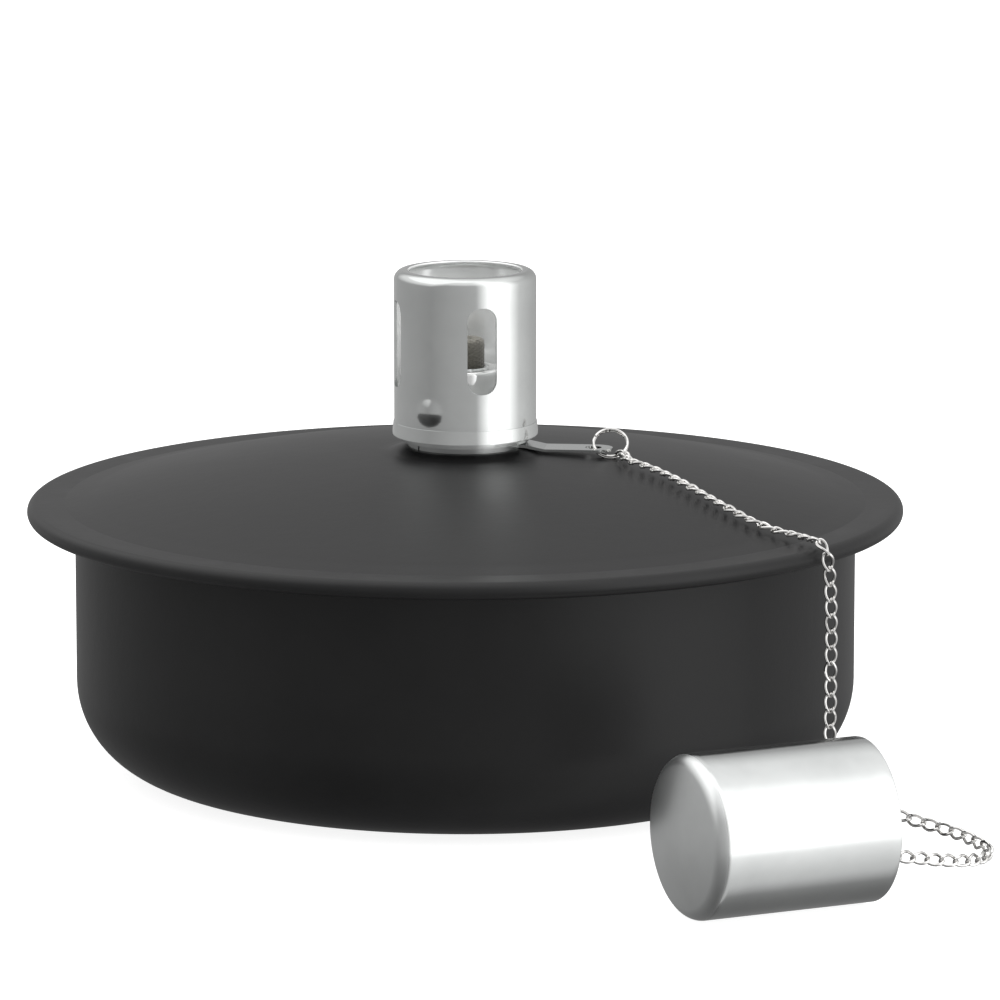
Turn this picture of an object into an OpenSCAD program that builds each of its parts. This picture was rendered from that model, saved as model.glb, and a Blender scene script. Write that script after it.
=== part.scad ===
// Lamp head of a garden torch: a covered metal fuel bowl with a screw-on wick burner,
// a swivelling lug with a split ring, and a chained snuffer cap lying beside the bowl.
// Millimetres, +Z up. The origin is the centre of the bowl's base; the lug points to +X.

/* [Bowl] */
// outer radius of the bowl's straight wall
bowl_r = 80.2; // [60:0.1:100]
// outer radius of the corner between wall and base
corner_r = 19.2; // [8:0.1:30]
// thickness of the pressed steel sheet
sheet = 0.8; // [0.5:0.1:1.5]
// outer radius of the rolled rim
rim_r = 90; // [70:0.5:110]
// height of the middle of the rolled rim
rim_z = 54.2; // [40:0.1:80]
// outer radius of the roll at the rim's edge
roll_r = 1.78; // [1.2:0.01:3]

/* [Lid] */
// height of the lid's centre
lid_top = 66.1; // [58:0.1:80]
// radius where the dome meets the flat flange
dome_r = 80.5; // [60:0.1:82]
// radius of the lid's flat middle
flat_r = 6; // [2:0.5:10]
// height of the raised seat round the neck, where the lug rests
seat_z = 67.15; // [66.9:0.05:67.3]

/* [Filler neck] */
// outer radius of the neck's screw thread
thread_r = 9.4; // [7:0.1:12]
// radius of the hole through the neck
neck_bore = 7.9; // [6:0.1:8.2]
// radius of the collar the lug turns on
collar_r = 9.9; // [9.5:0.1:12]
// outer radius of the neck's flange under the lid
flange_r = 11.5; // [11:0.1:12]

/* [Burner] */
// outer radius of the burner sleeve
sleeve_r = 14.6; // [12:0.1:20]
// thickness of the sleeve's wall
sleeve_wall = 0.6; // [0.4:0.1:1]
// height of the sleeve's top edge
sleeve_top = 103.55; // [95:0.05:120]
// radius of the opening at the sleeve's top
mouth_r = 11.6; // [9:0.1:13]
// width of each air slot
slot_w = 6.2; // [3:0.1:9]
// lowest point of the air slots
slot_low = 79.8; // [78:0.1:84]
// highest point of the air slots
slot_high = 97.6; // [90:0.1:100]
// direction of the first air slot, degrees from +X
slot_turn = 14; // [0:1:89]

/* [Wick] */
// radius of the wick
wick_r = 4; // [2:0.1:6]
// height of the wick's top
wick_top = 89.5; // [84:0.1:98]
// height of the wick's lower end inside the bowl
wick_low = 8; // [5:1:40]

/* [Lug] */
// direction the lug's arm points, degrees from +X
lug_turn = -6; // [-30:1:30]
// width of the lug's arm
lug_w = 6.8; // [4:0.1:9]
// distance from the bowl's axis to the arm's tip
lug_reach = 30.4; // [24:0.1:40]
// distance from the bowl's axis to the hole for the split ring
hole_x = 26.4; // [20:0.1:34]

/* [Snuffer cap] */
// outer radius of the cap
cap_r = 15.82; // [15:0.01:24]
// length of the cap
cap_len = 40; // [20:0.5:60]
// thickness of the cap's wall
cap_wall = 0.7; // [0.5:0.1:1.2]
// outer radius of the corner round the cap's crown
cap_corner = 3; // [2:0.1:8]
// how far the crown bulges
cap_dome = 1.5; // [0.5:0.1:3]
// direction from the crown to the open mouth, degrees from +X
cap_turn = 24.25; // [0:0.25:90]

/* [Hidden] */
$fn = 96;

// middle of the cap's crown
crown = [39.15, -133.45, cap_r];
chain_r = 1.3;
gap = 0.05;
dome_arc = (pow(dome_r - flat_r, 2) + pow(lid_top - rim_z - roll_r, 2))
  / (2 * (lid_top - rim_z - roll_r));
fold = roll_r - sheet;
crown_edge = cap_r - cap_corner + 0.66;
crown_arc = (pow(crown_edge, 2) + pow(cap_dome, 2)) / (2 * cap_dome);
corner_z = cap_dome + cap_corner * sqrt(1 - pow(crown_edge / crown_arc, 2));

// A point inside or near the cap: s back from the mouth, l sideways, z up.
function cap_at(s, l, z) = [
  crown[0] + (cap_len - s) * cos(cap_turn) - l * sin(cap_turn),
  crown[1] + (cap_len - s) * sin(cap_turn) + l * cos(cap_turn), z];

// Route of the chain's middle from the split ring over the lid and rim to the ground.
run = [[32.4, -7, 66.4], [32.6, -9.8, 66.3], [33.4, -12.6, 66], [36, -15.4, 65.6],
  [40.2, -20.6, 64.8], [44.2, -27, 63.8], [48, -32.7, 62.6], [52, -38.6, 61.3],
  [56.3, -43.5, 59.8], [61, -46.9, 58.4], [66.1, -50.2, 57.6], [69.2, -55.2, 57.6],
  [70.2, -56.7, 57.2], [71, -57.7, 56.2], [71.6, -57.4, 54], [72, -56.9, 51],
  [72.4, -56.3, 42], [72.4, -56.3, 34], [72.4, -56.3, 26], [72.4, -56.4, 18],
  [73.2, -56.9, 11.5],
  [76.2, -59, 7.2], [81, -62.2, 5.2], [86.4, -65.9, 4.1], [91, -68.5, 3.2],
  [94.9, -71.2, 2.6], [98.2, -74.6, 2.1], [100.8, -78.8, 1.6], [101.9, -82.4, 1.5]];
tail = [[102.2, -84.4, 1.5], [101.5, -87.6, 1.5], [99.5, -91.2, 1.7], [96.2, -94.7, 2.2],
  [91.5, -97.4, 3], [87.2, -99.4, 3.9], [83.4, -101.4, 4.7], [77.6, -104.8, 6],
  cap_at(0, 10, 6.9), cap_at(4, 9.4, 6.6), cap_at(10, 8.6, 5.2), cap_at(17, 6.4, 3.8),
  cap_at(24, 3.4, 3.2), cap_at(30, 1.4, 4.2), cap_at(34, 0.4, 7), cap_at(36, 0, 10.8)];

function unit(v) = v / norm(v);
function way(p, i) = unit(p[min(i + 1, len(p) - 1)] - p[max(i - 1, 0)]);
function side(t) = abs(t[2]) > 0.9 ? unit(cross(t, [0.8, 0.6, 0])) : unit(cross(t, [0, 0, 1]));
// Sideways direction at ring i, carried along the route so that the tube doesn't twist.
function carry(p, i) = i == 0 ? side(way(p, 0))
  : let (c = carry(p, i - 1), t = way(p, i)) unit(c - t * (c * t));

module tube(p) {
  n = len(p);
  rings = [for (i = [0:n - 1]) let (t = way(p, i), a = carry(p, i), b = cross(t, a))
    for (k = [0:7]) p[i] + chain_r * (cos(45 * k) * a + sin(45 * k) * b)];
  walls = [for (i = [0:n - 2], k = [0:7]) let (m = (k + 1) % 8)
    each [[8 * i + k, 8 * i + m, 8 * i + 8 + m], [8 * i + k, 8 * i + 8 + m, 8 * i + 8 + k]]];
  ends = [[for (k = [7:-1:0]) k], [for (k = [0:7]) 8 * (n - 1) + k]];
  polyhedron(points = rings, faces = [for (f = concat(walls, ends))
    [for (j = [len(f) - 1:-1:0]) f[j]]]);
}

module box2(x0, x1, z0, z1) {
  translate([x0, z0]) square([x1 - x0, z1 - z0]);
}

// A quarter ring in the plane of a turned profile, open towards +x and up or down.
module bend(x, z, r_out, r_in, up) {
  intersection() {
    translate([x, z]) difference() {
      circle(r = r_out);
      circle(r = r_in);
    }
    box2(x, x + r_out + 1, up > 0 ? z : z - r_out - 1, up > 0 ? z + r_out + 1 : z);
  }
}

module bowl() {
  color([0.06, 0.06, 0.065]) rotate_extrude() {
    box2(0, bowl_r - corner_r, 0, sheet);
    bend(bowl_r - corner_r, corner_r, corner_r, corner_r - sheet, -1);
    box2(bowl_r - sheet, bowl_r, corner_r, rim_z - 1.9);
    intersection() {
      translate([bowl_r + 1.5, rim_z - 1.9]) difference() {
        circle(r = 2.3);
        circle(r = 1.5);
      }
      box2(bowl_r - 1, bowl_r + 1.5, rim_z - 1.9, rim_z + 1);
    }
    box2(bowl_r + 1.5, rim_r - 2.1, rim_z - 0.4, rim_z + 0.4);
  }
}

module rim_fold(low, in, r) {
  box2(low, rim_r - roll_r, rim_z - r, rim_z);
  box2(in, rim_r - roll_r, rim_z, rim_z + r);
  translate([rim_r - roll_r, rim_z]) circle(r = r);
}

module lid() {
  color([0.07, 0.07, 0.075]) rotate_extrude() {
    difference() {
      rim_fold(bowl_r + 4, dome_r, roll_r);
      rim_fold(bowl_r + 3, dome_r - 1, fold);
    }
    intersection() {
      translate([flat_r, lid_top - dome_arc]) difference() {
        circle(r = dome_arc, $fn = 720);
        circle(r = dome_arc - sheet, $fn = 720);
      }
      box2(16, dome_r + 0.2, rim_z + fold, lid_top + 1);
    }
    // the middle is pressed up into a seat for the lug
    polygon([[collar_r, seat_z - 0.85], [12.3, seat_z - 0.85], [16, 65.15], [17.2, 65.15],
      [17.2, 65.7], [16.2, 65.91], [12.4, seat_z - 0.05], [12, seat_z], [collar_r, seat_z]]);
  }
}

module seam_gasket() {
  color([0.05, 0.05, 0.05]) rotate_extrude() difference() {
    rim_fold(bowl_r + 4, bowl_r + 4, fold);
    box2(bowl_r + 3, rim_r - 2.1, rim_z - 0.4, rim_z + 0.4);
  }
}

module filler_neck() {
  color([0.09, 0.09, 0.095]) rotate_extrude() {
    box2(neck_bore, flange_r, 64.8, seat_z - 0.85);
    box2(neck_bore, collar_r, 65, 68.75);
    box2(neck_bore, thread_r, 68.7, 75);
  }
}

module chain_lug() {
  color([0.7, 0.7, 0.7]) rotate([0, 0, lug_turn]) difference() {
    union() {
      translate([0, 0, seat_z + gap]) cylinder(r = 11.8, h = 1.5);
      intersection() {
        translate([0, lug_w / 2, 0]) rotate([90, 0, 0]) linear_extrude(lug_w)
          polygon([[10.6, 67.25], [12.4, 67.25], [16.4, 66.5], [31, 66.5], [31, 67],
            [16.6, 67], [12.7, 67.8], [10.6, 68]]);
        union() {
          translate([lug_reach - lug_w / 2, 0, 60]) cylinder(r = lug_w / 2, h = 12);
          translate([8, -lug_w / 2, 60]) cube([lug_reach - lug_w / 2 - 8, lug_w, 12]);
        }
      }
    }
    translate([0, 0, 60]) cylinder(r = collar_r + 0.1, h = 12);
    translate([hole_x, 0, 60]) cylinder(r = 1.7, h = 12);
    rotate([0, 0, -143.6 - lug_turn]) translate([9, -0.2, 60]) cube([6, 0.4, 12]);
  }
}

module burner_gasket() {
  color([0.05, 0.05, 0.05]) rotate_extrude() box2(thread_r + 0.1, 11.8, 68.8, 69.45);
}

module burner_base() {
  color([0.65, 0.65, 0.66]) rotate_extrude() {
    box2(thread_r + 0.05, sleeve_r - sleeve_wall, 69.5, 72.5);
    box2(12.6, 13.2, 68.4, 69.6);
    box2(thread_r + 0.05, 12.2, 72.4, 77.2);
    box2(wick_r + 0.9, 12.2, 76, 77.2);
  }
}

module burner_sleeve() {
  inner = sleeve_r - sleeve_wall;
  color([0.78, 0.78, 0.79]) difference() {
    union() {
      rotate_extrude() {
        polygon([[inner, 69.5], [sleeve_r + 0.4, 69.5], [sleeve_r, 72.3], [inner, 72.3]]);
        box2(inner, sleeve_r, 72.2, sleeve_top - 2);
        bend(sleeve_r - 2, sleeve_top - 2, 2, 2 - sleeve_wall, 1);
        box2(mouth_r, sleeve_r - 2, sleeve_top - sleeve_wall, sleeve_top);
      }
      // two pressed bumps that locate the sleeve on its base
      for (a = [-120.5, 59.5]) rotate([0, 0, a]) intersection() {
        translate([8.2, 0, 76]) sphere(r = 7);
        translate([inner + 0.2, -4, 72.5]) cube([4, 8, 7]);
      }
    }
    for (a = [0:90:270]) rotate([0, 0, slot_turn + a]) {
      for (z = [slot_low + slot_w / 2, slot_high - slot_w / 2])
        translate([8, 0, z]) rotate([0, 90, 0]) cylinder(d = slot_w, h = 10);
      translate([8, -slot_w / 2, slot_low + slot_w / 2])
        cube([10, slot_w, slot_high - slot_low - slot_w]);
    }
  }
}

module wick_holder() {
  color([0.8, 0.8, 0.8]) rotate_extrude() {
    box2(7.1, 9.4, 77.2, 77.8);
    box2(7.1, 7.7, 77.7, 82.7);
    box2(wick_r + 0.9, 7.7, 82.7, 83.3);
  }
}

module wick_tube() {
  color([0.75, 0.75, 0.75]) rotate_extrude() box2(wick_r + 0.1, wick_r + 0.9, 45, 83.6);
}

module wick() {
  color([0.55, 0.52, 0.47]) translate([0, 0, wick_low]) cylinder(r = wick_r, h = wick_top - wick_low);
}

module split_ring() {
  color([0.8, 0.8, 0.8]) translate([29.8, -2.4, 67.75]) rotate([42, 0, 0])
    rotate_extrude() translate([3.5, 0]) circle(r = 0.32);
}

module chain_run() {
  color([0.75, 0.75, 0.76]) tube(run);
}

module chain_tail() {
  color([0.75, 0.75, 0.76]) tube(tail);
}

// Puts a cap-shaped piece drawn with its crown at the bottom on its side on the ground.
module lay() {
  translate(crown) rotate([0, 0, cap_turn]) rotate([0, 90, 0]) children();
}

module snuffer_cap() {
  color([0.8, 0.8, 0.81]) lay() rotate_extrude() {
    intersection() {
      translate([0, crown_arc]) difference() {
        circle(r = crown_arc, $fn = 720);
        circle(r = crown_arc - cap_wall, $fn = 720);
      }
      box2(0, cap_r - cap_corner + 0.6, 0, cap_corner);
    }
    bend(cap_r - cap_corner, corner_z, cap_corner, cap_corner - cap_wall, -1);
    box2(cap_r - cap_wall, cap_r, corner_z, cap_len);
  }
}

module snuffer_eye() {
  color([0.75, 0.75, 0.75]) lay() translate([0, 0, cap_wall]) rotate([90, 0, 90])
    rotate_extrude(angle = 180) translate([2.8, 0]) circle(r = 0.6);
}

module snuffer_ring() {
  color([0.8, 0.8, 0.8]) lay() translate([1, 0, cap_wall + 2.8]) rotate([90, 0, 0])
    rotate_extrude() translate([2.05, 0]) circle(r = 0.4);
}

bowl();
lid();
seam_gasket();
filler_neck();
chain_lug();
burner_gasket();
burner_base();
burner_sleeve();
wick_holder();
wick_tube();
wick();
split_ring();
chain_run();
chain_tail();
snuffer_cap();
snuffer_eye();
snuffer_ring();
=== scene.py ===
"""Visual model of the torch's lamp head, built round its CAD frame, in mm until it is placed."""
import math
import random

import bpy
from mathutils import Matrix, Vector


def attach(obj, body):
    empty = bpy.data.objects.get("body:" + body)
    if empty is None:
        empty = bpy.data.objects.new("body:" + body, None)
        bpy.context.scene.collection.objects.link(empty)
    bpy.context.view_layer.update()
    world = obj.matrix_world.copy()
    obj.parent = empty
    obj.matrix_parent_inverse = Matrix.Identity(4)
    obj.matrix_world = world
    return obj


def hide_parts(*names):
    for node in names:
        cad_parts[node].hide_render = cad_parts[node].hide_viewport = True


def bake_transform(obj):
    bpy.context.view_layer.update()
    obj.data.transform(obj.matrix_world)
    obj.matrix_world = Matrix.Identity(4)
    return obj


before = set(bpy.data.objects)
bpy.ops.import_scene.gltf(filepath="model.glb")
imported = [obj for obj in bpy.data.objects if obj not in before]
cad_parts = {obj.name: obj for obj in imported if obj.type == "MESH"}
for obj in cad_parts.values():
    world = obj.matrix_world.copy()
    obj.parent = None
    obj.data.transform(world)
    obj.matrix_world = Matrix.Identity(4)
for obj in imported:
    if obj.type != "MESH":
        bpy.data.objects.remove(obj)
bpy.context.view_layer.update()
scene = bpy.context.scene
MM = 0.001

# the few sizes that several pieces share, in mm and degrees
SLEEVE_R = 14.6
SLEEVE_INNER = 14.0
SLOT_TURN = 14
BUMP_TURNS = (-120.5, 59.5)
CAP_R = 15.82
CAP_LEN = 40
CAP_TURN = 24.25


# ---------------------------------------------------------------- camera
cam = bpy.data.objects.new("camera", bpy.data.cameras.new("camera"))
scene.collection.objects.link(cam)
cam.location = (0, -1.37215, 0.31317)
cam.rotation_euler = (math.radians(79.3649), 0, math.radians(-0.298))
cam.data.sensor_width = 36
cam.data.lens = 244.29
cam.data.clip_start = 0.05
cam.data.clip_end = 40
scene.camera = cam


# ---------------------------------------------------------------- materials
class Nodes:
    """A small helper that adds shader nodes and joins them."""

    def __init__(self, name):
        self.mat = bpy.data.materials.new(name)
        self.mat.use_nodes = True
        self.tree = self.mat.node_tree
        self.bsdf = self.tree.nodes["Principled BSDF"]

    def add(self, kind, **settings):
        n = self.tree.nodes.new(kind)
        for key, value in settings.items():
            if hasattr(n, key):
                setattr(n, key, value)
        return n

    def link(self, a, b):
        self.tree.links.new(a, b)

    def put(self, node, name, value):
        if isinstance(value, bpy.types.NodeSocket):
            self.link(value, node.inputs[name])
        else:
            node.inputs[name].default_value = value
        return node

    def math(self, op, a, b=0.0):
        n = self.add("ShaderNodeMath", operation=op)
        for i, v in enumerate((a, b)):
            self.put(n, i, v)
        return n.outputs[0]

    def point(self):
        return self.add("ShaderNodeTexCoord").outputs["Object"]

    def noise(self, scale, detail=3.0, rough=0.55, stretch=(1, 1, 1)):
        m = self.add("ShaderNodeMapping")
        self.link(self.point(), m.inputs["Vector"])
        m.inputs["Scale"].default_value = stretch
        n = self.add("ShaderNodeTexNoise")
        self.link(m.outputs[0], n.inputs["Vector"])
        n.inputs["Scale"].default_value = scale
        n.inputs["Detail"].default_value = detail
        n.inputs["Roughness"].default_value = rough
        return n.outputs["Fac"]

    def ramp(self, fac, stops):
        n = self.add("ShaderNodeValToRGB")
        self.link(fac, n.inputs["Fac"])
        el = n.color_ramp.elements
        while len(el) < len(stops):
            el.new(0.5)
        for e, (at, value) in zip(el, stops):
            e.position = at
            v = value if hasattr(value, "__len__") else (value,) * 3
            e.color = (*v, 1)
        return n.outputs["Color"]

    def mix(self, fac, a, b):
        n = self.add("ShaderNodeMix", data_type="RGBA")
        self.put(n, 0, fac)
        for i, v in ((6, a), (7, b)):
            if isinstance(v, bpy.types.NodeSocket):
                self.link(v, n.inputs[i])
            else:
                n.inputs[i].default_value = (*v, 1)
        return n.outputs[2]

    def bump(self, height, depth, strength=1.0, after=None):
        n = self.add("ShaderNodeBump")
        self.put(n, "Height", height)
        n.inputs["Distance"].default_value = depth
        n.inputs["Strength"].default_value = strength
        if after:
            self.link(after, n.inputs["Normal"])
        return n.outputs[0]

    def edge(self, low, high):
        """0 on flat faces and 1 along convex edges."""
        g = self.add("ShaderNodeNewGeometry")
        r = self.add("ShaderNodeMapRange")
        self.link(g.outputs["Pointiness"], r.inputs["Value"])
        r.inputs["From Min"].default_value = low
        r.inputs["From Max"].default_value = high
        return r.outputs[0]


def powder_coat(name, gloss):
    n = Nodes(name)
    b = n.bsdf
    fine = n.noise(1500, 2, 0.5)
    peel = n.noise(260, 2, 0.5)
    cloud = n.noise(24, 4, 0.6)
    tone = n.ramp(cloud, [(0.3, (0.0050, 0.0050, 0.0052)), (0.72, (0.0078, 0.0078, 0.0080))])
    worn = n.math("MULTIPLY", n.edge(0.53, 0.6), n.ramp(n.noise(90, 4, 0.7), [(0.5, 0), (0.7, 1)]))
    n.link(n.mix(n.math("MULTIPLY", worn, 0.15), tone, (0.06, 0.06, 0.062)), b.inputs["Base Color"])
    rough = n.add("ShaderNodeMapRange")
    n.link(cloud, rough.inputs["Value"])
    rough.inputs["To Min"].default_value = 0.36
    rough.inputs["To Max"].default_value = 0.46
    n.link(rough.outputs[0], b.inputs["Roughness"])
    n.link(n.bump(fine, 0.00002, 0.6, n.bump(peel, 0.00006, 0.5)), b.inputs["Normal"])
    b.inputs["Specular IOR Level"].default_value = gloss
    return n.mat


def plated(name, tone, rough_low, rough_high, brushed=None, scratch=0.4, metal=1.0):
    n = Nodes(name)
    b = n.bsdf
    b.inputs["Metallic"].default_value = metal
    cloud = n.noise(60, 4, 0.6)
    dull = tuple(c * 0.9 for c in tone)
    n.link(n.mix(n.ramp(cloud, [(0.35, 0), (0.7, 1)]), tone, dull), b.inputs["Base Color"])
    rough = n.add("ShaderNodeMapRange")
    n.link(n.noise(140, 4, 0.65), rough.inputs["Value"])
    rough.inputs["To Min"].default_value = rough_low
    rough.inputs["To Max"].default_value = rough_high
    n.link(rough.outputs[0], b.inputs["Roughness"])
    normal = None
    if brushed:
        lines = n.noise(900, 3, 0.6, stretch=brushed)
        normal = n.bump(lines, 0.000012, scratch)
    n.link(n.bump(n.noise(700, 2, 0.5), 0.000006, 0.4, normal), b.inputs["Normal"])
    return n.mat


def rubber():
    n = Nodes("rubber")
    b = n.bsdf
    n.link(n.ramp(n.noise(300, 3), [(0.3, 0.012), (0.7, 0.022)]), b.inputs["Base Color"])
    b.inputs["Roughness"].default_value = 0.75
    n.link(n.bump(n.noise(1600, 2), 0.00002, 0.6), b.inputs["Normal"])
    return n.mat


def woven():
    """Braided glass fibre: two sets of yarns that wind round the wick."""
    n = Nodes("woven_wick")
    b = n.bsdf
    xyz = n.add("ShaderNodeSeparateXYZ")
    n.link(n.point(), xyz.inputs[0])
    turn = n.math("ARCTAN2", xyz.outputs["Y"], xyz.outputs["X"])
    high = n.math("MULTIPLY", xyz.outputs["Z"], 4200.0)
    yarn = []
    for sign in (1, -1):
        wave = n.math("SINE", n.math("ADD", n.math("MULTIPLY", turn, 8.0), n.math("MULTIPLY", high, sign)))
        yarn.append(n.math("ABSOLUTE", wave))
    braid = n.math("MAXIMUM", yarn[0], yarn[1])
    grain = n.noise(2500, 3, 0.6)
    soot = n.add("ShaderNodeMapRange")
    n.link(xyz.outputs["Z"], soot.inputs["Value"])
    soot.inputs["From Min"].default_value = 0.0845
    soot.inputs["From Max"].default_value = 0.0893
    pale = n.mix(braid, (0.07, 0.067, 0.054), (0.105, 0.1, 0.082))
    tip = n.mix(grain, (0.13, 0.125, 0.105), (0.24, 0.23, 0.2))
    n.link(n.mix(soot.outputs[0], pale, tip), b.inputs["Base Color"])
    b.inputs["Roughness"].default_value = 0.85
    b.inputs["Sheen Weight"].default_value = 0.3
    n.link(n.bump(braid, 0.0002, 0.6, n.bump(grain, 0.0001, 0.5)), b.inputs["Normal"])
    return n.mat


POWDER = powder_coat("powder_coat_lid", 0.34)
BOWLCOAT = powder_coat("powder_coat_bowl", 0.27)
SATIN = plated("satin_nickel", (0.675, 0.69, 0.682), 0.1, 0.17, brushed=(0.05, 0.05, 1.6), scratch=0.35)
CAPMETAL = plated("cap_nickel", (0.705, 0.72, 0.715), 0.12, 0.2, brushed=(1, 1, 1), scratch=0.2)
CAPFACE = plated("cap_face", (0.75, 0.765, 0.76), 0.27, 0.36)
BRIGHT = plated("bright_nickel", (0.80, 0.79, 0.775), 0.08, 0.17)
# a paler, part-diffuse copy of the nickel for the sleeve's inner faces: painted light that brightens the
# inside of the sleeve
INSIDE_PAINTED_LIGHT = plated("sleeve_inside_painted_light", (0.95, 0.96, 0.955), 0.14, 0.24, metal=0.45)
CUP = plated("cup_nickel", (0.95, 0.955, 0.95), 0.08, 0.15, metal=0.75)
RUBBER = rubber()
WOVEN = woven()


# ---------------------------------------------------------------- mesh tools
def piece(name, verts, faces, mat, body, slot=None, replaces=(), sharp=35):
    mesh = bpy.data.meshes.new(name)
    mesh.from_pydata([Vector(v) * MM for v in verts], [], faces)
    mesh.validate()
    mesh.polygons.foreach_set("use_smooth", [True] * len(mesh.polygons))
    mesh.set_sharp_from_angle(angle=math.radians(sharp))
    mesh.materials.append(mat)
    obj = bpy.data.objects.new(name, mesh)
    scene.collection.objects.link(obj)
    if body:
        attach(obj, body)
    if replaces:
        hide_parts(*replaces)
    return obj


def arc(cx, cz, r, a0, a1, n):
    return [(cx + r * math.cos(math.radians(a0 + (a1 - a0) * i / n)),
             cz + r * math.sin(math.radians(a0 + (a1 - a0) * i / n))) for i in range(n + 1)]


def lathe(profile, n=256, closed=True):
    """Turns a closed (r, z) profile, listed anticlockwise, round the Z axis."""
    verts, rings = [], []
    for r, z in profile:
        if r < 1e-6:
            rings.append([len(verts)] * n)
            verts.append((0, 0, z))
        else:
            rings.append(list(range(len(verts), len(verts) + n)))
            verts += [(r * math.cos(2 * math.pi * k / n), r * math.sin(2 * math.pi * k / n), z)
                      for k in range(n)]
    faces = []
    m = len(profile)
    for i in range(m if closed else m - 1):
        a, b = rings[i], rings[(i + 1) % m]
        if a[0] == a[1] and b[0] == b[1]:
            continue
        for k in range(n):
            j = (k + 1) % n
            quad = [a[k], a[j], b[j], b[k]]
            face = list(dict.fromkeys(quad))
            if len(face) > 2:
                faces.append(face)
    return verts, faces


def tube(points, radius, sides=10, closed=False):
    """A round tube along points; returns vertices and faces."""
    pts = [Vector(p) for p in points]
    n = len(pts)
    verts, faces = [], []
    side = None
    for i, p in enumerate(pts):
        a = pts[i - 1] if (i or closed) else p
        b = pts[(i + 1) % n] if (i < n - 1 or closed) else p
        t = (b - a).normalized()
        if side is None:
            side = t.orthogonal().normalized()
        side = (side - t * side.dot(t)).normalized()
        up = t.cross(side)
        for k in range(sides):
            w = 2 * math.pi * k / sides
            verts.append(p + radius * (math.cos(w) * side + math.sin(w) * up))
    for i in range(n if closed else n - 1):
        j = (i + 1) % n
        for k in range(sides):
            m = (k + 1) % sides
            faces.append([i * sides + k, i * sides + m, j * sides + m, j * sides + k])
    if closed:
        # join the last ring to the first with the least turn
        last = verts[(n - 1) * sides:]
        shift = min(range(sides), key=lambda s: (verts[s] - last[0]).length)
        faces = faces[: (n - 1) * sides]
        for k in range(sides):
            m = (k + 1) % sides
            end = (n - 1) * sides
            faces.append([end + k, end + m, (m + shift) % sides, (k + shift) % sides])
    else:
        faces.append(list(range(sides))[::-1])
        faces.append(list(range((n - 1) * sides, n * sides)))
    return verts, faces


def spline(points, step):
    """A smooth curve through the points, sampled every step or so."""
    pts = [Vector(p) for p in points]
    out = []
    for i in range(len(pts) - 1):
        p0, p1, p2 = pts[max(i - 1, 0)], pts[i], pts[i + 1]
        p3 = pts[min(i + 2, len(pts) - 1)]
        n = max(2, int((p2 - p1).length / step))
        for k in range(n):
            t = k / n
            out.append(0.5 * (2 * p1 + (p2 - p0) * t + (2 * p0 - 5 * p1 + 4 * p2 - p3) * t * t
                              + (3 * p1 - p0 - 3 * p2 + p3) * t ** 3))
    out.append(pts[-1])
    return out


# ---------------------------------------------------------------- fuel bowl and lid
SHEET = 0.8
wall_r, corner, flare = 80.2, 19.2, 1.5
bowl_profile = (
    [(0, 0), (59, 0)] + arc(61, corner, corner, -90, 0, 24) + [(wall_r, 30), (wall_r, 42)]
    + arc(81.7, 52.3, flare, 180, 90, 8) + [(87.9, 53.8), (87.9, 54.6)]
    + arc(81.7, 52.3, flare + SHEET, 90, 180, 8) + [(wall_r - SHEET, 42), (wall_r - SHEET, 30)]
    + arc(61, corner, corner - SHEET, 0, -90, 24) + [(0, SHEET)]
)
piece("bowl_skin", *lathe(bowl_profile, 288), BOWLCOAT, "tank", "black_paint", ["bowl"])

# the lid's dome is an arc round a point dome_x from the axis; it runs down to the flat flange,
# whose edge rolls round the bowl's rim, and up to the pressed seat of the neck
lid_top, flange_top, dome_x, roll_r = 66.1, 55.98, 6, 1.78
rise = lid_top - flange_top
dome_r = ((80.5 - dome_x) ** 2 + rise ** 2) / (2 * rise)
foot = math.degrees(math.acos((80.3 - dome_x) / dome_r))
lid_profile = (
    [(9.9, 66.3), (12.3, 66.3), (12.7, 66.18)]
    + arc(dome_x, lid_top - dome_r, dome_r - SHEET, 87.9, foot + 0.25, 30)
    + [(80.8, 55.18), (84, 55.18)] + arc(88.22, 54.2, roll_r - SHEET, 90, -90, 12) + [(84.2, 53.22)]
    + arc(84.2, 52.82, SHEET / 2, 90, 270, 6) + arc(88.22, 54.2, roll_r, -90, 90, 20)
    + [(86, flange_top), (82.4, flange_top)]
    + arc(82.4, 57.48, 1.5, -90, -106, 4)
    + arc(dome_x, lid_top - dome_r, dome_r, foot + 0.45, 87.9, 30)
    + [(15.5, 66.08), (13.0, 66.9), (12.6, 67.02), (12.1, 67.13), (11.7, 67.15), (9.9, 67.15)]
)
piece("lid_skin", *lathe(lid_profile, 288), POWDER, "tank", "black_paint", ["lid"])

neck_profile = (
    [(7.9, 64.8), (11.2, 64.8), (11.5, 65.1), (11.5, 66.3), (9.9, 66.3), (9.9, 68.75), (9.4, 68.75)]
)
for i in range(4):  # the thread, as four grooves
    z = 68.95 + 1.45 * i
    neck_profile += [(9.4, z), (9.05, z + 0.35), (9.05, z + 0.75), (9.4, z + 1.1)]
neck_profile += [(9.4, 74.6), (9.0, 75), (8.2, 75), (7.9, 74.7)]
piece("neck_turned", *lathe(neck_profile, 128), POWDER, "tank", "black_paint", ["filler_neck"])

for node, mat in (("seam_gasket", RUBBER), ("burner_gasket", RUBBER), ("chain_lug", SATIN),
                  ("burner_base", SATIN), ("wick_tube", SATIN), ("snuffer_eye", BRIGHT)):
    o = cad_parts[node]
    o.data.materials.clear()
    o.data.materials.append(mat)


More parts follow.
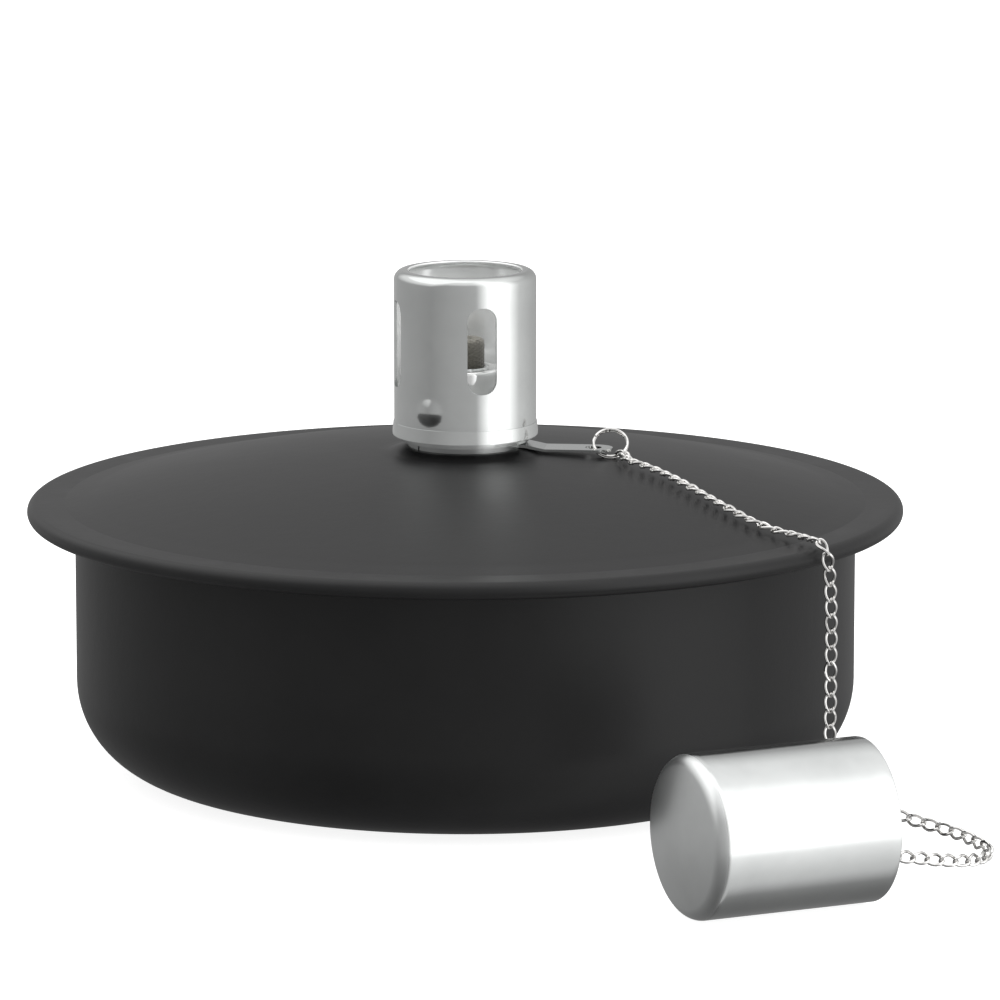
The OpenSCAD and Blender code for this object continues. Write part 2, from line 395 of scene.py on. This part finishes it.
# ---------------------------------------------------------------- burner
def sleeve():
    """The sleeve's wall, with the four slots and two bumps in the mesh itself."""
    half, z0, z1 = 3.1, 79.8, 97.6  # a slot's half width, lowest and highest point
    skirt = 72.3  # the foot below this height is slightly wider
    shoulder = 101.55  # where the wall ends and the lip begins

    def out_r(a, z):
        r = SLEEVE_R
        if z < skirt:
            r += 0.14 + 0.26 * min(1, (skirt - z) / 2.6)
        for b in BUMP_TURNS:
            d = math.radians((a - b + 180) % 360 - 180) * SLEEVE_R
            q = math.hypot(d, z - 76) / 2.9
            if q < 1:
                r += 0.58 * (1 - q * q) ** 1.25
        return r

    zs = sorted({round(z, 3) for z in
                 [69.5, 69.56, 69.7, 70.4, 71.2, 72.0, 72.2, 72.26, 72.3, 72.34, 72.45, 72.7]
                 + [73 + 0.25 * i for i in range(26)]
                 + [z0 + half * (1 - math.cos(math.radians(9 * i))) for i in range(11)]
                 + [z1 - half * (1 - math.cos(math.radians(9 * i))) for i in range(11)]
                 + [84.5 + 1.2 * i for i in range(9)] + [98.2, 99.2, 100.4, shoulder]})
    # angles relative to a slot's middle, shared by all four quarters
    across = [half * math.sin(math.radians(9 * i)) / SLEEVE_R for i in range(-10, 11)]
    rel = sorted({round(math.degrees(w), 4) for w in across} | {round(14 + 2 * i, 4) for i in range(32)})
    angles = [SLOT_TURN + 90 * q + r for q in range(4) for r in rel]
    verts, faces = [], []

    def open_at(r0, r1, za, zb):
        """Whether the cell between two relative angles and heights lies in a slot."""
        s = abs(math.radians((r0 + r1) / 2)) * SLEEVE_R
        z = (za + zb) / 2
        if s >= half or not z0 < z < z1:
            return False
        c = z0 + half if z < z0 + half else z1 - half if z > z1 - half else z
        return math.hypot(s, z - c) < half

    index = {}

    def vert(i, j, inner):
        key = (i % len(angles), j, inner)
        if key not in index:
            a, z = angles[key[0]], zs[j]
            r = out_r(a, z)
            if inner:
                r = SLEEVE_INNER + max(0, r - SLEEVE_R) * (z > skirt)
            index[key] = len(verts)
            verts.append([r * math.cos(math.radians(a)), r * math.sin(math.radians(a)), z])
        return index[key]

    n, m = len(angles), len(zs)
    per = len(rel)
    cell = {}
    for i in range(n):
        r0 = rel[i % per]
        r1 = rel[(i + 1) % per] if (i + 1) % per else 90 + rel[0]
        for j in range(m - 1):
            cell[i, j] = not open_at(r0, r1, zs[j], zs[j + 1])
    for (i, j), solid in cell.items():
        if not solid:
            continue
        a, b, c, d = (i, j), (i + 1, j), (i + 1, j + 1), (i, j + 1)
        faces.append([vert(*p, False) for p in (a, b, c, d)])
        faces.append([vert(*p, True) for p in (d, c, b, a)])
        around = (((i, j - 1), a, b), (((i + 1) % n, j), b, c),
                  ((i, j + 1), c, d), (((i - 1) % n, j), d, a))
        for other, p, q in around:
            if other[1] == m - 1:
                continue
            if other[1] < 0 or not cell[other]:
                faces.append([vert(*p, False), vert(*p, True), vert(*q, True), vert(*q, False)])
    # the rolled-in top lip
    lip = arc(12.6, shoulder, 2.0, 0, 90, 10)[1:] + [(12.1, 103.55)] + arc(11.9, 103.25, 0.3, 90, 270, 6)
    lip += arc(12.6, shoulder, 1.4, 90, 0, 8)[:-1]
    prev = [vert(i, m - 1, False) for i in range(n)]
    for r, z in lip:
        ring = []
        for a in angles:
            ring.append(len(verts))
            verts.append([r * math.cos(math.radians(a)), r * math.sin(math.radians(a)), z])
        for i in range(n):
            k = (i + 1) % n
            faces.append([prev[i], prev[k], ring[k], ring[i]])
        prev = ring
    last = [vert(i, m - 1, True) for i in range(n)]
    for i in range(n):
        k = (i + 1) % n
        faces.append([prev[i], prev[k], last[k], last[i]])
    return verts, faces


skin = piece("sleeve_skin", *sleeve(), SATIN, "burner", "nickel", ["burner_sleeve"], sharp=40)
# the inward faces take the paler copy of the nickel, painted light that lifts the shade inside the sleeve
skin.data.materials.append(INSIDE_PAINTED_LIGHT)  # on the faces that look inwards
for p in skin.data.polygons:
    c = p.center
    inward = c.x * p.normal.x + c.y * p.normal.y < -0.5 * math.hypot(c.x, c.y)
    p.material_index = 1 if inward else 0

holder = (
    [(7.1, 77.2), (9.3, 77.2), (9.4, 77.3), (9.4, 77.7), (9.2, 77.8)] + arc(8.1, 78.2, 0.4, -90, -180, 5)
    + [(7.7, 80)] + arc(6.9, 82.5, 0.8, 0, 90, 8)
    + [(5.9, 83.3), (5.6, 83.1), (4.9, 83.1), (4.9, 82.7), (6.6, 82.7)]
    + arc(6.7, 82.3, 0.4, 90, 0, 5) + [(7.1, 78)]
)
piece("holder_cup", *lathe(holder, 128), CUP, "burner", "nickel", ["wick_holder"])


def wick():
    """The round wick, with a slightly frayed top."""
    rng = random.Random(4)
    prof = [(0, 8), (3.9, 8)] + [(3.97, 10 + 4 * i) for i in range(17)]
    prof += [(3.95, 86), (3.95, 88), (3.85, 88.8), (3.5, 89.25), (2.6, 89.4), (1.4, 89.3), (0, 89.35)]
    v, f = lathe(prof, 96, closed=False)
    out = []
    for x, y, z in v:
        if z > 88.5:
            k = 1 + rng.uniform(-0.03, 0.012)
            out.append((x * k, y * k, min(z + rng.uniform(-0.25, 0.12), 89.5)))
        else:
            out.append((x, y, z))
    return out, f


piece("wick_braid", *wick(), WOVEN, "wick", "wick_fibre", ["wick"], sharp=60)


# ---------------------------------------------------------------- split rings
def coil(mean, wire, turns=2.0, gap=0.56, start=150):
    """A split ring: the wire goes round twice and steps across once."""
    pts, n = [], int(72 * turns)
    for i in range(n + 1):
        t = i / n
        w = math.radians(start + 360 * turns * t)
        side = max(-1, min(1, (t - 0.5) / 0.06))
        side = side * (1.5 - 0.5 * side * side)
        pts.append((mean * math.cos(w), mean * math.sin(w), side * gap / 2))
    return tube(pts, wire, 10)


def place(verts, m):
    return [m @ Vector(v) for v in verts]


v, f = coil(3.5, 0.28)
at = Matrix.Translation((29.8, -2.4, 67.75)) @ Matrix.Rotation(math.radians(42), 4, "X")
piece("split_ring_coil", place(v, at), f, BRIGHT, "tether", "bright_nickel", ["split_ring"])

# the cap is drawn standing on its crown, and LAY puts it on its side on the ground
CROWN = Vector((39.15, -133.45, CAP_R))
TURNED = Matrix.Rotation(math.radians(CAP_TURN), 4, "Z") @ Matrix.Rotation(math.radians(90), 4, "Y")
LAY = Matrix.Translation(CROWN) @ TURNED

v, f = tube([(1 + 2.05 * math.cos(math.radians(6 * i)), 0, 3.5 + 2.05 * math.sin(math.radians(6 * i)))
             for i in range(60)], 0.4, 10, closed=True)
piece("snuffer_jump_ring", place(v, LAY), f, BRIGHT, "snuffer", "bright_nickel", ["snuffer_ring"])

cap_profile = (
    arc(0, 61.3, 61.3, -90, -77.5, 16)[:-1] + arc(12.82, 4.43, 3.0, -77.3, 0, 18)
    + [(CAP_R, z) for z in (8, 16, 24, 32, 38.8)]
    + arc(15.57, 39.75, 0.25, 0, 90, 5) + arc(15.37, 39.75, 0.25, 90, 180, 5)
    + [(15.12, 32), (15.12, 24), (15.12, 16), (15.12, 8)] + arc(12.82, 4.43, 2.3, 0, -77.3, 18)
    + arc(0, 61.3, 60.6, -77.5, -90, 16)[1:]
)
v, f = lathe(cap_profile, 192)
cap = piece("snuffer_cap_skin", place(v, LAY), f, CAPMETAL, "snuffer", "nickel", ["snuffer_cap"])
cap.data.materials.append(CAPFACE)  # on the crown
along = LAY.to_3x3() @ Vector((0, 0, 1))
for p in cap.data.polygons:
    p.material_index = 1 if p.normal.dot(along) < -0.3 else 0


# ---------------------------------------------------------------- chain
def cap_at(s, l, z):
    """A point near the cap: s back from the mouth, l sideways, z up."""
    c, q = math.cos(math.radians(CAP_TURN)), math.sin(math.radians(CAP_TURN))
    return (CROWN.x + (CAP_LEN - s) * c - l * q, CROWN.y + (CAP_LEN - s) * q + l * c, z)


ROUTE = [(32.4, -7, 66.4), (32.6, -9.8, 66.3), (33.4, -12.6, 66), (36, -15.4, 65.6),
         (40.2, -20.6, 64.8), (44.2, -27, 63.8), (48, -32.7, 62.6), (52, -38.6, 61.3),
         (56.3, -43.5, 59.8), (61, -46.9, 58.4), (66.1, -50.2, 57.6), (69.2, -55.2, 57.6),
         (70.2, -56.7, 57.2), (71, -57.7, 56.2), (71.6, -57.4, 54), (72, -56.9, 51),
         (72.4, -56.3, 42), (72.4, -56.3, 34), (72.4, -56.3, 26), (72.4, -56.4, 18),
         (73.2, -56.9, 11.5),
         (76.2, -59, 7.2), (81, -62.2, 5.2), (86.4, -65.9, 4.1), (91, -68.5, 3.2),
         (94.9, -71.2, 2.6), (98.2, -74.6, 2.1), (100.8, -78.8, 1.6), (101.9, -82.4, 1.5),
         (102.2, -84.4, 1.5), (101.5, -87.6, 1.5), (99.5, -91.2, 1.7), (96.2, -94.7, 2.2),
         (91.5, -97.4, 3), (87.2, -99.4, 3.9), (83.4, -101.4, 4.7), (77.6, -104.8, 6),
         cap_at(0, 10, 6.9), cap_at(4, 9.4, 6.6), cap_at(10, 8.6, 5.2), cap_at(17, 6.4, 3.8),
         cap_at(24, 3.4, 3.2), cap_at(30, 1.4, 4.2), cap_at(34, 0.4, 7), cap_at(36, 0, 10.8)]


def chain():
    """Curb links along the route, and the line they follow."""
    line = spline([(31.9, -5.2, 66.2)] + ROUTE + [cap_at(36.2, 0, 12.6)], 0.4)
    pitch = 3.2
    # which way a link's width points: flat on the lid, towards +X where it hangs, on edge on the ground
    keys = [(0.0, (-0.8, -0.5, 0.25)), (0.066, (-0.8, -0.5, 0.25)), (0.076, (-1.0, -0.05, 0.1)),
            (0.122, (-1.0, -0.1, 0.0)), (0.138, (-0.3, -0.3, -1.0)), (0.3, (0.05, -0.1, -1.0))]

    def wanted(at):
        for (d0, v0), (d1, v1) in zip(keys, keys[1:]):
            if at <= d1:
                return Vector(v0).lerp(Vector(v1), max(0.0, (at - d0) / (d1 - d0)))
        return Vector(keys[-1][1])

    # walk along the line and drop a frame at every link's middle
    frames, dist, want = [], 0.0, 0.4
    for a, b in zip(line, line[1:]):
        t = (b - a).normalized()
        step = (b - a).length
        while dist + step >= want:
            side = wanted(want * MM)
            side = (side - t * side.dot(t)).normalized()
            frames.append((a + t * (want - dist), t, side))
            want += pitch
        dist += step
    rng = random.Random(11)
    verts, faces = [], []
    # a link's half length, half width and wire radius; each is a loop twisted end to end
    long, wide, wire = 1.92, 1.04, 0.32
    steps = 28
    for p, t, side in frames:
        roll = math.radians(rng.uniform(-7, 7))
        across = math.cos(roll) * side + math.sin(roll) * t.cross(side)
        lift = t.cross(across)
        loop = []
        for k in range(steps):
            w = 2 * math.pi * k / steps
            x = long * math.cos(w)
            y = wide * math.copysign(abs(math.sin(w)) ** 0.88, math.sin(w))
            twist = math.radians(-45) * x / long
            loop.append(p + t * x + across * (y * math.cos(twist)) + lift * (y * math.sin(twist)))
        v, f = tube(loop, wire, 8, closed=True)
        base = len(verts)
        verts += v
        faces += [[base + i for i in face] for face in f]
    return verts, faces, line


cv, cf, cline = chain()
links = piece("chain_links", cv, cf, BRIGHT, None, "bright_nickel", ["chain_run", "chain_tail"])
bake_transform(links)


# ---------------------------------------------------------------- stage and light
bpy.ops.mesh.primitive_plane_add(size=12, location=(0, 3, -0.0003))
floor = bpy.context.object
floor.name = "floor"
fm = Nodes("pale_floor")
fm.bsdf.inputs["Base Color"].default_value = (0.45, 0.45, 0.45, 1)
fm.bsdf.inputs["Roughness"].default_value = 0.9
fm.bsdf.inputs["Specular IOR Level"].default_value = 0.1
fm.bsdf.inputs["Emission Color"].default_value = (1, 1, 1, 1)
fm.bsdf.inputs["Emission Strength"].default_value = 0.88
# seen from below the floor is clear, so that the base can be looked at
clear = fm.add("ShaderNodeBsdfTransparent")
sides = fm.add("ShaderNodeMixShader")
fm.link(fm.add("ShaderNodeNewGeometry").outputs["Backfacing"], sides.inputs[0])
fm.link(fm.bsdf.outputs[0], sides.inputs[1])
fm.link(clear.outputs[0], sides.inputs[2])
fm.link(sides.outputs[0], fm.tree.nodes["Material Output"].inputs["Surface"])
floor.data.materials.append(fm.mat)
floor.visible_glossy = False

top = bpy.data.lights.new("top_box", "AREA")
top.shape = "RECTANGLE"
top.size, top.size_y = 1.6, 1.6
top.energy = 16
top_obj = bpy.data.objects.new("top_box", top)
scene.collection.objects.link(top_obj)
top_obj.location = (0.15, 0.1, 1.5)
top_obj.visible_glossy = False

# The studio: a bright wall at the right of the camera, grey elsewhere, white for the camera.
world = bpy.data.worlds.new("studio")
world.use_nodes = True
scene.world = world
wt = world.node_tree


def wnode(kind, **settings):
    n = wt.nodes.new(kind)
    for k, v in settings.items():
        setattr(n, k, v)
    return n


def wramp(fac, stops):
    n = wnode("ShaderNodeValToRGB")
    wt.links.new(fac, n.inputs["Fac"])
    el = n.color_ramp.elements
    while len(el) < len(stops):
        el.new(0.5)
    for e, (at, value) in zip(el, stops):
        e.position = at
        e.color = (value, value, value, 1)
    return n.outputs["Color"]


def wmath(op, a, b):
    n = wnode("ShaderNodeMath", operation=op)
    for i, v in enumerate((a, b)):
        if isinstance(v, bpy.types.NodeSocket):
            wt.links.new(v, n.inputs[i])
        else:
            n.inputs[i].default_value = v
    return n.outputs[0]


coord = wnode("ShaderNodeTexCoord")
sep = wnode("ShaderNodeSeparateXYZ")
wt.links.new(coord.outputs["Generated"], sep.inputs[0])
turn = wmath("ARCTAN2", sep.outputs["X"], wmath("MULTIPLY", sep.outputs["Y"], -1.0))
about = wmath("ADD", wmath("DIVIDE", turn, 2 * math.pi), 0.5)
# brightness round the horizon, halved, by turns from straight behind the object
wall = wramp(about, [(0.0, 0.24), (0.14, 0.235), (0.25, 0.22), (0.34, 0.19), (0.43, 0.235),
                     (0.55, 0.28), (0.615, 0.95), (0.695, 0.95), (0.77, 0.42), (0.86, 0.31),
                     (0.94, 0.235), (0.985, 0.21), (1.0, 0.235)])
high = wmath("ADD", wmath("MULTIPLY", sep.outputs["Z"], 0.5), 0.5)
# the sky comes lower down on the left
left = wramp(about, [(0.03, 0.0), (0.1, 0.19), (0.34, 0.19), (0.4, 0.0)])
up = wramp(wmath("ADD", high, left), [(0.0, 0.0), (0.74, 0.0), (0.9, 0.55), (0.965, 0.55),
                                      (0.985, 1.0), (1.0, 1.0)])
low = wramp(high, [(0.0, 0.28), (0.16, 0.42), (0.34, 0.62), (0.41, 1.0), (1.0, 1.0)])
sky = wnode("ShaderNodeMix", data_type="RGBA")
wt.links.new(up, sky.inputs[0])
wt.links.new(wall, sky.inputs[6])
sky.inputs[7].default_value = (0.75, 0.75, 0.75, 1)
shade = wnode("ShaderNodeMix", data_type="RGBA", blend_type="MULTIPLY")
shade.inputs[0].default_value = 1.0
wt.links.new(sky.outputs[2], shade.inputs[6])
wt.links.new(low, shade.inputs[7])
rays = wnode("ShaderNodeLightPath")
seen = wnode("ShaderNodeMix", data_type="RGBA")
wt.links.new(rays.outputs["Is Camera Ray"], seen.inputs[0])
wt.links.new(shade.outputs[2], seen.inputs[6])
seen.inputs[7].default_value = (0.5, 0.5, 0.5, 1)
wt.links.new(seen.outputs[2], wt.nodes["Background"].inputs["Color"])
wt.nodes["Background"].inputs["Strength"].default_value = 2.0
scene.view_settings.view_transform = "Standard"
